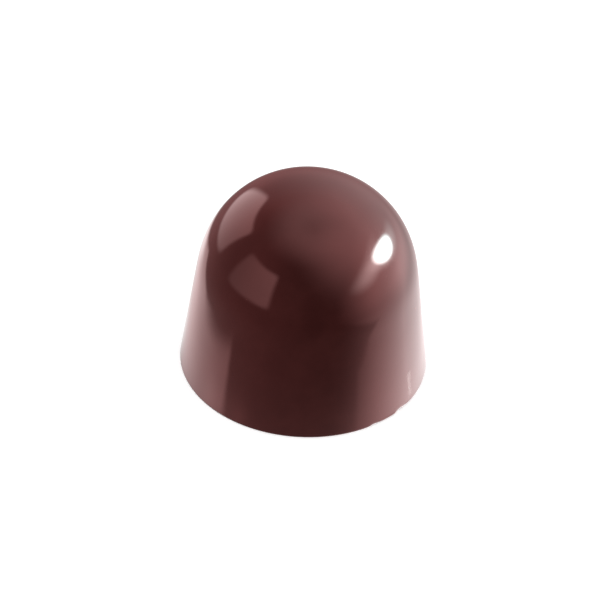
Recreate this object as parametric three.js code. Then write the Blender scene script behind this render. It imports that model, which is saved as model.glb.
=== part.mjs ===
// Moulded chocolate praline: a ball-shaped top that runs without a crease into a
// straight wall, which flares out to a flat, scraped base.
// Millimetres, +Z up, origin at the centre of the base. Angles round the praline are
// in degrees, counted from -Y towards +X.

import * as THREE from 'three';

// Driving dimensions; the base diameter is measured before its edge is rounded
const baseDiameter = 28;
const domeRadius = 12.4;
const totalHeight = 23.9;
const edgeRounding = 0.15;

// Flakes broken out of the base edge. Each one starts with a short, steep step at
// brokenFrom, is deepest at deepest and thins out to nothing at runsOutAt.
const edgeFlakes = [
  { brokenFrom: 49.5, deepest: 52, runsOutAt: 64, depth: 0.24 },
  { brokenFrom: 33, deepest: 36, runsOutAt: 41, depth: 0.15 },
  { brokenFrom: 33, deepest: 39, runsOutAt: 60, depth: 0.1 },
];
const flakeHeight = 0.5;

// Fineness of the surface
const stepsAround = 120;
const roundingSteps = 3;
const flakeBandSteps = 3;
const wallSteps = 5;
const domeSteps = 20;

const chocolateColour = 0x43201d;
const chocolateRoughness = 0.14;

// The wall leaves the base edge as a straight line that touches the ball.
const baseRadius = baseDiameter / 2;
const domeCentreHeight = totalHeight - domeRadius;
const edgeToDomeCentre = Math.hypot(baseRadius, domeCentreHeight);
const wallLean = Math.acos(domeRadius / edgeToDomeCentre)
  - Math.atan2(domeCentreHeight, baseRadius);

// Half of the praline's upright section, from the base centre out and up to the top.
function sectionPoints() {
  const roundingCentre = baseRadius - edgeRounding * (1 + Math.sin(wallLean)) / Math.cos(wallLean);
  const rounding = new THREE.ArcCurve(
    roundingCentre, edgeRounding, edgeRounding, -Math.PI / 2, wallLean, false,
  );
  const dome = new THREE.ArcCurve(0, domeCentreHeight, domeRadius, wallLean, Math.PI / 2, false);
  const wallFoot = rounding.getPoint(1);
  const wallHead = dome.getPoint(0);
  const flakeTopShare = (flakeHeight - wallFoot.y) / (wallHead.y - wallFoot.y);
  const flakeTop = wallFoot.clone().lerp(wallHead, flakeTopShare);
  return [
    new THREE.Vector2(0, 0),
    ...rounding.getPoints(roundingSteps),
    ...new THREE.LineCurve(wallFoot, flakeTop).getPoints(flakeBandSteps).slice(1),
    ...new THREE.LineCurve(flakeTop, wallHead).getPoints(wallSteps).slice(1),
    ...dome.getPoints(domeSteps).slice(1, -1),
    new THREE.Vector2(0, totalHeight),
  ];
}

// How deep one flake is at an angle: up the steep step, then down the long slope.
function flakeDepth(flake, angle) {
  const step = (angle - flake.brokenFrom) / (flake.deepest - flake.brokenFrom);
  const slope = (flake.runsOutAt - angle) / (flake.runsOutAt - flake.deepest);
  return flake.depth * Math.max(0, Math.min(step, slope));
}

// What is missing from the edge, which thins out up the wall.
function edgeLoss(angle, height) {
  const share = Math.max(0, 1 - height / flakeHeight);
  return share * edgeFlakes.reduce((sum, flake) => sum + flakeDepth(flake, angle), 0);
}

function breakFlakes(geometry) {
  const position = geometry.attributes.position;
  const point = new THREE.Vector3();
  for (let i = 0; i < position.count; i += 1) {
    point.fromBufferAttribute(position, i);
    const radius = Math.hypot(point.x, point.y);
    const angle = THREE.MathUtils.radToDeg(Math.atan2(point.x, -point.y));
    if (radius > 0) {
      const shrink = 1 - edgeLoss(angle, point.z) / radius;
      position.setXY(i, point.x * shrink, point.y * shrink);
    }
  }
}

function pralineGeometry() {
  const geometry = new THREE.LatheGeometry(sectionPoints(), stepsAround);
  geometry.rotateX(Math.PI / 2);
  breakFlakes(geometry);
  geometry.computeVertexNormals();
  return geometry;
}

const chocolate = new THREE.MeshStandardMaterial({
  color: chocolateColour,
  roughness: chocolateRoughness,
  metalness: 0,
});

const praline = new THREE.Mesh(pralineGeometry(), chocolate);
praline.name = 'praline';

const part = new THREE.Group();
part.add(praline);

export default part;
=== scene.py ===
import math
import bmesh
import bpy
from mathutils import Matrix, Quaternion, Vector


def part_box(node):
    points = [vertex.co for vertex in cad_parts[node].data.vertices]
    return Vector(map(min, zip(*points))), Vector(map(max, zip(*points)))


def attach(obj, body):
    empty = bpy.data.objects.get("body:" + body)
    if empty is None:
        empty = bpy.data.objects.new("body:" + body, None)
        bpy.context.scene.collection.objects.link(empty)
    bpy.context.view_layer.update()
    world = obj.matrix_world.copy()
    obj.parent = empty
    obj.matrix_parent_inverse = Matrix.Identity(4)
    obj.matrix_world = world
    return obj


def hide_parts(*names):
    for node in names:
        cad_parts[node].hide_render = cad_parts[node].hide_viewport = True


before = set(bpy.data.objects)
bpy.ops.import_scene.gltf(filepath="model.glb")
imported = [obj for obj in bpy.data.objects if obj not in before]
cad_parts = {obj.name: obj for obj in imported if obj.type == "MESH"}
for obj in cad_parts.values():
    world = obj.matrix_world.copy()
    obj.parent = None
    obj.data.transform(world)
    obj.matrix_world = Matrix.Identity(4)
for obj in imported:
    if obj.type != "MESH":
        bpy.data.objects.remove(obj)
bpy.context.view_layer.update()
print("frame loaded:", ", ".join(sorted(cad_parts)))


# Node sheets: sums on sockets add Math nodes, everything else comes from Sheet.node
class Value:
    def __init__(self, sheet, socket):
        self.sheet, self.socket = sheet, socket

    def math(self, operation, *others):
        sockets = dict(enumerate((self, *others)))
        return self.sheet.node("Math", {"operation": operation}, sockets)

    def __add__(self, other):
        return self.math("ADD", other)

    def __sub__(self, other):
        return self.math("SUBTRACT", other)

    def __rsub__(self, other):
        return (self * -1) + other

    def __mul__(self, other):
        return self.math("MULTIPLY", other)

    def __truediv__(self, other):
        return self.math("DIVIDE", other)

    __radd__, __rmul__ = __add__, __mul__

    def plus(self, other):
        return self.sheet.node("VectorMath", {"operation": "ADD"}, {0: self, 1: other})

    def scaled(self, share):
        return self.sheet.node("VectorMath", {"operation": "SCALE"}, {0: self, "Scale": share})

    # 0 where this value is at low or before, 1 at high or past it; low may be the larger
    def rise(self, low, high):
        sockets = {"Value": self, "From Min": low, "From Max": high}
        return self.sheet.node("MapRange", {"interpolation_type": "SMOOTHSTEP"}, sockets)


class Sheet:
    def __init__(self, tree):
        self.tree = tree
        tree.nodes.clear()

    def node(self, kind, settings=None, sockets=None, out=0):
        made = self.tree.nodes.new("ShaderNode" + kind)
        for name, value in (settings or {}).items():
            setattr(made, name, value)
        for name, value in (sockets or {}).items():
            if isinstance(value, Value):
                self.tree.links.new(value.socket, made.inputs[name])
            else:
                made.inputs[name].default_value = value
        return Value(self, made.outputs[out]) if len(made.outputs) else made

    def split(self, vector):
        parts = self.node("SeparateXYZ", None, {0: vector})
        return [Value(self, socket) for socket in parts.socket.node.outputs]

    # light at a strength; a whiteness of 1 is white, less is rosy and more is bluish
    def tinted(self, whiteness, strength):
        light = {0: (1, whiteness, whiteness), "Scale": strength}
        return self.node("VectorMath", {"operation": "SCALE"}, light)

    def blend(self, share, first, second):
        kinds = {"data_type": "RGBA"}
        return self.node("Mix", kinds, {0: share, 6: first, 7: second}, out=2)


def newMaterial(name):
    material = bpy.data.materials.new(name)
    material.use_nodes = True
    return material, Sheet(material.node_tree)


# Edit mode helpers
def startClean():
    if bpy.context.object and bpy.context.object.mode != "OBJECT":
        bpy.ops.object.mode_set(mode="OBJECT")
    bpy.ops.object.select_all(action="DESELECT")


def pickEdges(obj, test):
    bpy.ops.mesh.select_mode(type="EDGE")
    bpy.ops.mesh.select_all(action="DESELECT")
    mesh = bmesh.from_edit_mesh(obj.data)
    for edge in mesh.edges:
        edge.select_set(test(*sorted(v.co.z for v in edge.verts)))
    bmesh.update_edit_mesh(obj.data)


def pickFaces(obj, test):
    bpy.ops.mesh.select_mode(type="FACE")
    bpy.ops.mesh.select_all(action="DESELECT")
    mesh = bmesh.from_edit_mesh(obj.data)
    for face in mesh.faces:
        face.select_set(test(face))
    bmesh.update_edit_mesh(obj.data)


# The praline's sizes are those of the CAD solid, in metres
praline = {
    "baseRadius": 0.014,
    "domeRadius": 0.0124,
    "edgeRounding": 0.00015,
    "segments": 240,
    "ballRings": 128,
    "roundingSegments": 4,
    "wallLoops": 33,
    "footLoops": 3,  # extra loops in each of the lowest rows, for the flakes
    "footRows": 2,
    "baseRings": (0.0003, 0.0012, 0.003, 0.0045),
    "shoulderBlend": 0.0015,  # the wall turns into the ball this far each way
    "shoulderFade": 0.005,
    "waveHeight": 0.000016,  # how far the mould's surface strays
    "waveLength": 0.0045,
    "evenFoot": 0.1,  # the share of a wave above the base that stays even
    "creaseAngle": 40,
}

# Flakes broken out of the base edge: angles in degrees from -Y towards +X
flakes = {
    "breaks": (
        {"brokenFrom": 49.5, "deepest": 52, "runsOutAt": 64, "depth": 0.00024},
        {"brokenFrom": 33, "deepest": 36, "runsOutAt": 41, "depth": 0.00015},
        {"brokenFrom": 33, "deepest": 39, "runsOutAt": 60, "depth": 0.0001},
    ),
    "steepness": 0.6,  # how fast a flake thins out up the wall
    "fullWeight": 0.0003,  # the depth that a weight of 1 stands for
}


def flakeDepth(angle, height):
    depth = 0
    for flake in flakes["breaks"]:
        step = (angle - flake["brokenFrom"]) / (flake["deepest"] - flake["brokenFrom"])
        slope = (flake["runsOutAt"] - angle) / (flake["runsOutAt"] - flake["deepest"])
        depth += flake["depth"] * max(0, min(step, slope))
    return max(0, depth - height * flakes["steepness"])


# The height of the ball's centre, the wall's lean and the height where it leaves the ball
def wallLines():
    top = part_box("praline")[1].z
    domeCentre = top - praline["domeRadius"]
    reach = math.hypot(praline["baseRadius"], domeCentre)
    lean = math.acos(praline["domeRadius"] / reach) - math.atan2(domeCentre, praline["baseRadius"])
    return domeCentre, lean, domeCentre + praline["domeRadius"] * math.sin(lean)


def makePraline():
    domeCentre, lean, wallTop = wallLines()
    flare = praline["baseRadius"] / (praline["domeRadius"] * math.cos(lean))
    near = 1e-6  # closer than this counts as touching

    # A ball, cut off where the wall leaves it
    startClean()
    bpy.ops.mesh.primitive_uv_sphere_add(
        segments=praline["segments"], ring_count=praline["ballRings"],
        radius=praline["domeRadius"], location=(0, 0, domeCentre))
    body = bpy.context.object
    body.name = "praline_chocolate"
    bpy.ops.object.transform_apply(location=True, rotation=False, scale=False)
    bpy.ops.object.mode_set(mode="EDIT")
    bpy.ops.mesh.select_all(action="SELECT")
    bpy.ops.mesh.bisect(
        plane_co=(0, 0, wallTop), plane_no=(0, 0, 1), clear_inner=True, threshold=near / 10)

    # The wall down to the base, flared, then the base and its edge
    pickEdges(body, lambda lower, upper: upper < wallTop + near)
    bpy.ops.mesh.extrude_region_move(TRANSFORM_OT_translate={"value": (0, 0, -wallTop)})
    bpy.ops.transform.resize(value=(flare, flare, 1), center_override=(0, 0, 0))
    bpy.ops.mesh.edge_face_add()
    pickEdges(body, lambda lower, upper: upper < near)
    cornerReach = praline["edgeRounding"] / math.tan((math.pi / 2 - lean) / 2)
    bpy.ops.mesh.bevel(
        offset=cornerReach, segments=praline["roundingSegments"], profile=0.5, affect="EDGES")

    # Loops up the wall, closer together at the foot: an upright edge there is a row high
    pickEdges(body, lambda lower, upper: lower < 2 * cornerReach and upper > wallTop - near)
    bpy.ops.mesh.subdivide(number_cuts=praline["wallLoops"])
    rowHeight = wallTop / (praline["wallLoops"] + 1)
    footTop = cornerReach + (praline["footRows"] + 0.5) * rowHeight
    pickEdges(body, lambda lower, upper: upper - lower > 0.8 * rowHeight and upper < footTop)
    bpy.ops.mesh.subdivide(number_cuts=praline["footLoops"])

    # Rings on the underside and its middle point
    pickFaces(body, lambda face: len(face.verts) > 4)
    for width in praline["baseRings"]:
        bpy.ops.mesh.inset(thickness=width)
    bpy.ops.mesh.poke()

    bpy.ops.mesh.select_all(action="SELECT")
    bpy.ops.mesh.remove_doubles(threshold=near)
    bpy.ops.mesh.normals_make_consistent(inside=False)
    bpy.ops.object.mode_set(mode="OBJECT")
    return body


# The wall turns into the ball over a short stretch and not at once, so that the gloss shows no
# crease. What that takes off fades out further up the ball.
def easeShoulder(body):
    domeCentre, lean, wallTop = wallLines()
    radius, blend = praline["domeRadius"], praline["shoulderBlend"]
    group = body.vertex_groups.new(name="shoulder")
    for vert in body.data.vertices:
        if vert.co.z < wallTop:
            along = (vert.co.z - wallTop) / math.cos(lean)
        else:
            along = radius * (math.asin(min(1, (vert.co.z - domeCentre) / radius)) - lean)
        share = max(0, 1 + along / blend) ** 3 / 2
        if along > 0:
            faded = min(1, max(0, along - blend) / praline["shoulderFade"])
            share = 1 - max(0, 1 - along / blend) ** 3 / 2
            share -= faded ** 3 * (faded * (faded * 6 - 15) + 10)
        if share > 0:
            group.add([vert.index], share, "REPLACE")
    push = body.modifiers.new("shoulder", "DISPLACE")
    push.vertex_group = group.name
    push.mid_level = 0
    push.strength = -blend ** 2 / (6 * radius)
    bpy.ops.object.modifier_apply(modifier=push.name)


# The flakes are painted as weights and pushed in along X and Y
def breakEdge(body):
    broken = []
    for vert in body.data.vertices:
        angle = math.atan2(vert.co.x, -vert.co.y)
        depth = flakeDepth(math.degrees(angle), vert.co.z) / flakes["fullWeight"]
        if depth > 0 and vert.co.to_2d().length > praline["baseRadius"] / 2:
            broken.append((vert.index, depth, angle))
    for axis, side, share in (("X", -1, math.sin), ("Y", 1, math.cos)):
        group = body.vertex_groups.new(name="broken along " + axis)
        for index, depth, angle in broken:
            group.add([index], depth * share(angle), "REPLACE")
        push = body.modifiers.new("broken along " + axis, "DISPLACE")
        push.direction = axis
        push.vertex_group = group.name
        push.mid_level = 0
        push.strength = side * flakes["fullWeight"]
        bpy.ops.object.modifier_apply(modifier=push.name)


# The faint unevenness that a polished mould leaves, above the crisp base edge. It only dips
# inwards, so that the praline stays inside its solid.
def waver(body):
    group = body.vertex_groups.new(name="moulded")
    for vert in body.data.vertices:
        share = min(1, max(0, vert.co.z / praline["waveLength"] - praline["evenFoot"]))
        if share > 0:
            group.add([vert.index], share, "REPLACE")
    clouds = bpy.data.textures.new("mould unevenness", "CLOUDS")
    clouds.noise_scale = praline["waveLength"]
    clouds.noise_depth = 1
    push = body.modifiers.new("mould unevenness", "DISPLACE")
    push.texture = clouds
    push.texture_coords = "LOCAL"
    push.vertex_group = group.name
    push.mid_level = 1
    push.strength = praline["waveHeight"]
    bpy.ops.object.modifier_apply(modifier=push.name)
    bpy.ops.object.shade_smooth_by_angle(angle=math.radians(praline["creaseAngle"]))


body = makePraline()
easeShoulder(body)
breakEdge(body)
waver(body)
print("praline modelled:", len(body.data.vertices), "points")

# The finish: lengths in metres, angles in degrees from -Y towards +X. Each scale is a noise's.
chocolateLook = {
    "colour": (0.0265, 0.0063, 0.0058, 1),
    "paler": (0.0335, 0.0082, 0.0075, 1),
    "glossTint": (1, 0.45, 0.44, 1),
    "ior": 1.5,
    "roughness": 0.08,
    "rougher": 0.2,  # what the broken edge and the underside add to that
    "mottle": {"scale": 260, "from": 0.35, "full": 0.75},
    "polish": {"scale": 90, "reach": 0.04},
    "grain": {"scale": 1500, "relief": 0.000001},
    "brokenEdge": {"colour": (0.05, 0.017, 0.014, 1), "share": 0.7, "from": 33, "full": 35,
                   "fades": 58, "to": 62, "fullBelow": 0.0002, "top": 0.0004,
                   "relief": 0.00002},
    "underside": {"scale": 1800, "stretch": (1, 0.06, 1), "fullBelow": 0.00002,
                  "top": 0.00006, "relief": 0.00002},
    # the scuff's pale colour is a painted highlight streak; its roughness and relief are a real
    # scuff
    "scuffAndHighlight": {"colour": (0.75, 0.68, 0.66, 1), "share": 0.2, "rougher": 0.5,
              "relief": 0.000003, "starts": 0.001, "ends": 0.0005,
              "wanderScale": 700, "wander": 2.4, "wornScale": 1100, "wornFrom": 0.2,
              "wornFull": 0.5},
    "scuffAndHighlightLine": {"angle": 61.5, "from": 0.0004, "to": 0.0042, "width": 0.0003, "lean": 0,
                  "share": 1},
    "scuffAndHighlightHook": {"angle": 59.2, "from": 0.0031, "to": 0.0042, "width": 0.00022,
                  "lean": 2200, "share": 0.8},
}


def chocolateMaterial():
    material, sheet = newMaterial("moulded chocolate")
    place = sheet.node("TexCoord", out="Object")
    x, y, z = sheet.split(place)
    angle = x.math("ARCTAN2", y * -1).math("DEGREES")

    def noise(scale, detail=2, at=place):
        return sheet.node("TexNoise", None, {"Vector": at, "Scale": scale, "Detail": detail})

    look = chocolateLook
    mottle, polish, grain = look["mottle"], look["polish"], look["grain"]
    mottled = noise(mottle["scale"], 3).rise(mottle["from"], mottle["full"])
    cloudy = noise(polish["scale"])
    grainy = noise(grain["scale"])

    # the broken edge and the scraped underside
    edge, under = look["brokenEdge"], look["underside"]
    alongFlakes = angle.rise(edge["from"], edge["full"]) * angle.rise(edge["to"], edge["fades"])
    broken = alongFlakes * z.rise(edge["top"], edge["fullBelow"])
    underside = z.rise(under["top"], under["fullBelow"])
    stretched = sheet.node("Mapping", None, {"Vector": place, "Scale": under["stretch"]})
    scraped = noise(under["scale"], at=stretched)

    # a fine scuff up the wall, with a small hook at its top: its roughness and bump are the scuff,
    # and its pale colour is a painted highlight streak
    scuffAndHighlight = look["scuffAndHighlight"]
    wander = (noise(scuffAndHighlight["wanderScale"]) - 0.5) * scuffAndHighlight["wander"]
    worn = noise(scuffAndHighlight["wornScale"], 3).rise(scuffAndHighlight["wornFrom"], scuffAndHighlight["wornFull"])
    degreeLength = math.radians(1) * praline["baseRadius"]

    def line(spec):
        aside = angle + wander - spec["angle"] - (z - spec["from"]) * spec["lean"]
        thin = (aside * degreeLength).math("ABSOLUTE").rise(spec["width"] * 2, 0)
        started = z.rise(spec["from"], spec["from"] + scuffAndHighlight["starts"])
        return thin * started * z.rise(spec["to"], spec["to"] - scuffAndHighlight["ends"]) * spec["share"]

    scuffedAndHighlit = line(look["scuffAndHighlightLine"]).math("MAXIMUM", line(look["scuffAndHighlightHook"])) * worn

    colour = sheet.blend(mottled, look["colour"], look["paler"])
    colour = sheet.blend(broken * edge["share"], colour, edge["colour"])
    # painted highlight: the scuff's pale colour brightens a streak up the wall
    colour = sheet.blend(scuffedAndHighlit * scuffAndHighlight["share"], colour, scuffAndHighlight["colour"])
    roughness = look["roughness"] + (cloudy - 0.5) * polish["reach"]
    roughness = roughness + (broken + underside + scuffedAndHighlit * scuffAndHighlight["rougher"]) * look["rougher"]
    height = grainy * grain["relief"] + broken * grainy * edge["relief"]
    height = height + underside * scraped * under["relief"] + scuffedAndHighlit * scuffAndHighlight["relief"]
    bump = sheet.node("Bump", None, {"Height": height, "Distance": 1.0, "Strength": 1.0})
    shader = sheet.node("BsdfPrincipled", None, {
        "Base Color": colour, "Roughness": roughness, "Normal": bump,
        "IOR": look["ior"], "Specular Tint": look["glossTint"]})
    sheet.node("OutputMaterial", None, {"Surface": shader})
    return material


body.data.materials.clear()
body.data.materials.append(chocolateMaterial())
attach(body, "root")
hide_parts("praline")
print("chocolate finish made")

# The stage: a pale floor for the eye and the praline's shading. It glows a little, as a lit
# table does.
stage = {
    "floorSize": 3,
    "floorColour": (0.95, 0.95, 0.95, 1),
    "floorGlow": 0.38,
    "domeLight": 1.0,
}


def addFloor():
    startClean()
    bpy.ops.mesh.primitive_plane_add(size=stage["floorSize"])
    floor = bpy.context.object
    floor.name = "floor"
    material, sheet = newMaterial("pale floor")
    lit = sheet.node("BsdfDiffuse", None, {"Color": stage["floorColour"]})
    glow = sheet.node("Emission", None, {"Strength": stage["floorGlow"]})
    both = sheet.node("AddShader", None, {0: lit, 1: glow})
    sheet.node("OutputMaterial", None, {"Surface": both})
    floor.data.materials.append(material)
    floor.visible_glossy = False


# What lies on the table by the praline, which only its gloss shows, in metres: a patch of light
# on the left, wider at the back, a shadow in front on the right that turns back at a corner,
# soft bright spots, a trace of light round the foot and the praline's own shade close to it.
# Whiteness is the share of green and blue in each light.
table = {
    "size": 0.3,
    "below": -0.01,
    "patch": {"light": 1.53, "whiteness": 0.78, "left": -0.0443, "leftSlope": -0.04,
              "leftSoft": 0.0042, "widens": 0.76, "widensFrom": 0.0117,
              "front": -0.0098, "frontSlope": 0.273, "frontSoft": 0.002,
              "back": 0.0526, "backSoft": 0.0063, "endsFrom": -0.033, "endsBy": -0.012},
    "shadow": {"share": 0.45, "front": -0.0128, "frontSlope": -0.59, "soft": 0.0022,
               "corner": 0.034, "turn": 1.02, "begins": 0, "full": 0.01,
               "fades": 0.052, "ends": 0.068},
    "spots": (
        {"light": 1.68, "whiteness": 0.83, "x": 0.0245, "y": -0.0098, "reach": 0.0178},
        {"light": 0.6, "whiteness": 1.2, "x": -0.039, "y": 0.042, "reach": 0.009},
        {"light": 0.4, "whiteness": 1.45, "x": -0.021, "y": 0.041, "reach": 0.012},
        {"light": 0.24, "whiteness": 1.3, "x": -0.0165, "y": 0.016, "reach": 0.007},
        {"light": 0.5, "whiteness": 0.85, "x": -0.03, "y": -0.0095, "reach": 0.0042},
        {"light": 0.35, "whiteness": 0.85, "x": -0.028, "y": -0.015, "reach": 0.0045},
        {"light": 0.42, "whiteness": 0.6, "x": -0.0235, "y": -0.0235, "reach": 0.0045},
    ),
    "foot": {"light": 0.61, "whiteness": 1, "from": 0.026, "fade": 0.0131},
    "shade": {"share": 0.42, "from": 0.014, "to": 0.0296},
}


def addTableLight():
    startClean()
    bpy.ops.mesh.primitive_plane_add(size=table["size"], location=(0, 0, table["below"]))
    card = bpy.context.object
    card.name = "table_light"
    material, sheet = newMaterial("light on the table")
    x, y = sheet.split(sheet.node("TexCoord", out="Object"))[:2]

    patch, shadow = table["patch"], table["shadow"]
    widened = (y - patch["widensFrom"]).math("MAXIMUM", 0) * patch["widens"]
    fromLeft = x - y * patch["leftSlope"] - patch["left"] + widened
    fromFront = y - x * patch["frontSlope"] - patch["front"]
    share = fromLeft.rise(-patch["leftSoft"], patch["leftSoft"])
    share = share * x.rise(patch["endsBy"], patch["endsFrom"])
    share = share * fromFront.rise(-patch["frontSoft"], patch["frontSoft"])
    share = share * y.rise(patch["back"] + patch["backSoft"], patch["back"] - patch["backSoft"])
    light = sheet.tinted(patch["whiteness"], share * patch["light"])

    for spot in table["spots"]:
        fromSpotX, fromSpotY = x - spot["x"], y - spot["y"]
        away = (fromSpotX * fromSpotX + fromSpotY * fromSpotY) / -spot["reach"] ** 2
        light = light.plus(sheet.tinted(spot["whiteness"], away.math("EXPONENT") * spot["light"]))

    foot, outwards = table["foot"], (x * x + y * y).math("SQRT")
    fade = ((outwards - foot["from"]) / -foot["fade"]).math("EXPONENT").math("MINIMUM", 1)
    light = light.plus(sheet.tinted(foot["whiteness"], fade * foot["light"]))

    shade = table["shade"]
    lit = 1 - outwards.rise(shade["to"], shade["from"]) * shade["share"]
    turned = (x - shadow["corner"]).math("MAXIMUM", 0) * shadow["turn"]
    before = y - x * shadow["frontSlope"] - shadow["front"] - turned
    dark = before.rise(shadow["soft"], -shadow["soft"])
    dark = dark * x.rise(shadow["begins"], shadow["full"]) * x.rise(shadow["ends"], shadow["fades"])
    clear = sheet.node("BsdfTransparent", None, {"Color": (1 - dark * shadow["share"]) * lit})
    glow = sheet.node("Emission", None, {"Color": light.scaled(lit)})
    both = sheet.node("AddShader", None, {0: glow, 1: clear})
    sheet.node("OutputMaterial", None, {"Surface": both})
    card.data.materials.append(material)
    for kind in ("camera", "diffuse", "transmission", "volume_scatter", "shadow"):
        setattr(card, "visible_" + kind, False)


# What the gloss sees farther off, by direction: degrees round from -Y towards +X, and above the
# horizon. Lengths and widths are halves, and slopes are degrees. The eye and the floor see an
# even pale dome instead.
studio = {
    "ceiling": {"light": 1.96, "whiteness": 0.9, "from": 44, "full": 82},
    "right": {"light": 3.88, "whiteness": 0.85, "middle": 113, "half": 21.2, "widens": 1,
              "widensFrom": -15, "widensBelow": 1, "belowFrom": -12, "soft": 71,
              "tilt": -0.003, "fades": 39, "ends": 88},
    "back": {"light": 0.76, "whiteness": 0.42, "middle": 189, "half": 53.5, "soft": 33,
             "low": -44, "high": 9.6},
    "left": {"light": 0.56, "whiteness": 0.53, "middle": -85.5, "half": 55, "soft": 57},
    "backWindow": {"light": 1.98, "whiteness": 0.87, "middle": -130, "half": 22.3, "leans": 0.265,
                   "height": 14.3, "halfHeight": 19.8, "climbs": 0.085, "taper": 0.03,
                   "soft": 0.11, "corners": 7, "tilt": -0.2, "tiltUp": 0.29},
    "frontWindow": {"light": 1.27, "whiteness": 0.95, "middle": -60, "half": 23.9, "leans": 0.128,
                    "height": 13.8, "halfHeight": 18.2, "climbs": 0.01, "taper": 0.058,
                    "soft": 0.14, "corners": 10, "tilt": 0.46, "tiltUp": 0.18},
    "haze": {"light": 2.05, "whiteness": 0.76, "middle": 86, "height": 2.5, "slope": 15.6,
             "length": 56, "width": 41.5, "core": 0.1},
    "streak": {"light": 3.9, "whiteness": 1.45, "middle": 79.5, "height": 20.6, "slope": 13,
               "length": 35, "width": 13, "core": 0.1},
    "glare": {"light": 4.8, "whiteness": 1.45, "middle": 105, "height": 13.7, "slope": -18,
              "length": 35, "width": 10, "core": 0.1},
    "glint": {"light": 1.3, "whiteness": 0.73, "middle": 120, "height": -8.7, "slope": -1.5,
              "length": 35, "width": 15, "core": 0.1},
    "lamp": {"light": 30, "whiteness": 1.9, "middle": 104.9, "height": 16.6, "slope": -23,
             "length": 20.6, "width": 8.5, "core": 0.55},
    "lampRim": 1.1,  # where a lamp's light ends, in its half lengths and widths
}


def addStudio():
    world = bpy.data.worlds.new("studio")
    bpy.context.scene.world = world
    world.use_nodes = True
    world.cycles.sampling_method = "NONE"
    sheet = Sheet(world.node_tree)
    x, y, z = sheet.split(sheet.node("TexCoord", out="Generated"))
    azimuth = x.math("ARCTAN2", y * -1).math("DEGREES")
    elevation = z.math("ARCSINE").math("DEGREES")

    def aside(spec):
        return (azimuth - spec["middle"]).math("WRAP", 180, -180)

    def wall(spec):
        past = aside(spec).math("ABSOLUTE") - spec["half"]
        if "widens" in spec:
            past = past - elevation.math("MAXIMUM", spec["widensFrom"]) * spec["widens"]
            below = (spec["belowFrom"] - elevation).math("MAXIMUM", 0)
            past = past - below * spec["widensBelow"]
        return past.rise(spec["soft"], -spec["soft"]) * spec["light"]

    def window(spec):
        above, besides = elevation - spec["height"], aside(spec)
        v = (above - besides * spec["climbs"]) / spec["halfHeight"]
        u = (besides - above * spec["leans"]) / spec["half"] * (v * spec["taper"] + 1)
        corners = spec["corners"]
        away = u.math("ABSOLUTE").math("POWER", corners) + v.math("ABSOLUTE").math("POWER", corners)
        inside = away.math("POWER", 1 / corners).rise(1 + spec["soft"], 1 - spec["soft"])
        return inside * (u * spec["tilt"] + v * spec["tiltUp"] + 1) * spec["light"]

    def lamp(spec):
        slope = math.radians(spec["slope"])
        besides, above = aside(spec), elevation - spec["height"]
        along = (besides * math.cos(slope) + above * math.sin(slope)) / spec["length"]
        across = (above * math.cos(slope) - besides * math.sin(slope)) / spec["width"]
        away = (along * along + across * across).math("SQRT")
        return away.rise(studio["lampRim"], spec["core"]) * spec["light"]

    ceiling, right, back, left = [studio[name] for name in ("ceiling", "right", "back", "left")]
    overhead = elevation.rise(ceiling["from"], ceiling["full"])
    light = sheet.tinted(ceiling["whiteness"], overhead * ceiling["light"])
    rightLight = wall(right) * elevation.rise(right["ends"], right["fades"])
    rightLight = rightLight * (aside(right) * right["tilt"] + 1)
    light = light.plus(sheet.tinted(right["whiteness"], rightLight))
    backLight = wall(back) * elevation.rise(back["low"], back["high"]) * (1 - overhead)
    light = light.plus(sheet.tinted(back["whiteness"], backLight))
    light = light.plus(sheet.tinted(left["whiteness"], wall(left) * (1 - overhead)))
    for name in ("backWindow", "frontWindow"):
        light = light.plus(sheet.tinted(studio[name]["whiteness"], window(studio[name])))
    for name in ("haze", "streak", "glare", "glint", "lamp"):
        light = light.plus(sheet.tinted(studio[name]["whiteness"], lamp(studio[name])))

    seen = sheet.node("Background", None, {"Color": light})
    dome = sheet.node("Background", None, {"Color": (1, 1, 1, 1), "Strength": stage["domeLight"]})
    inGloss = sheet.node("LightPath", out="Is Glossy Ray")
    shader = sheet.node("MixShader", None, {0: inGloss, 1: dome, 2: seen})
    sheet.node("OutputWorld", None, {"Surface": shader})


addFloor()
addTableLight()
addStudio()
print("stage set")

# The camera looks down on the praline from far off, turned a little about its own axis
camera = {
    "elevation": 38.345,
    "distance": 0.35,
    "targetHeight": 0.0112,
    "lens": 188.26,
    "roll": 3.003,
    "targetRight": 0.000786,  # where the target lies from the picture's middle
    "targetUp": 0.002282,
    "clip": (0.01, 10),
}


def addCamera():
    tilt, roll = math.radians(camera["elevation"]), math.radians(camera["roll"])
    target = Vector((0, 0, camera["targetHeight"]))
    back = Vector((0, -math.cos(tilt), math.sin(tilt)))
    right = Vector((1, 0, 0))
    up = back.cross(right)
    rolledRight = right * math.cos(roll) + up * math.sin(roll)
    rolledUp = up * math.cos(roll) - right * math.sin(roll)
    eye = target + back * camera["distance"]
    aim = target - rolledRight * camera["targetRight"] - rolledUp * camera["targetUp"]
    data = bpy.data.cameras.new("camera")
    data.lens = camera["lens"]
    data.clip_start, data.clip_end = camera["clip"]
    seat = bpy.data.objects.new("camera", data)
    bpy.context.scene.collection.objects.link(seat)
    seat.location = eye
    seat.rotation_mode = "QUATERNION"
    seat.rotation_quaternion = (eye - aim).to_track_quat("Z", "Y") @ Quaternion((0, 0, 1), roll)
    bpy.context.scene.camera = seat


addCamera()
bpy.context.scene.view_settings.view_transform = "Standard"
print("camera placed")
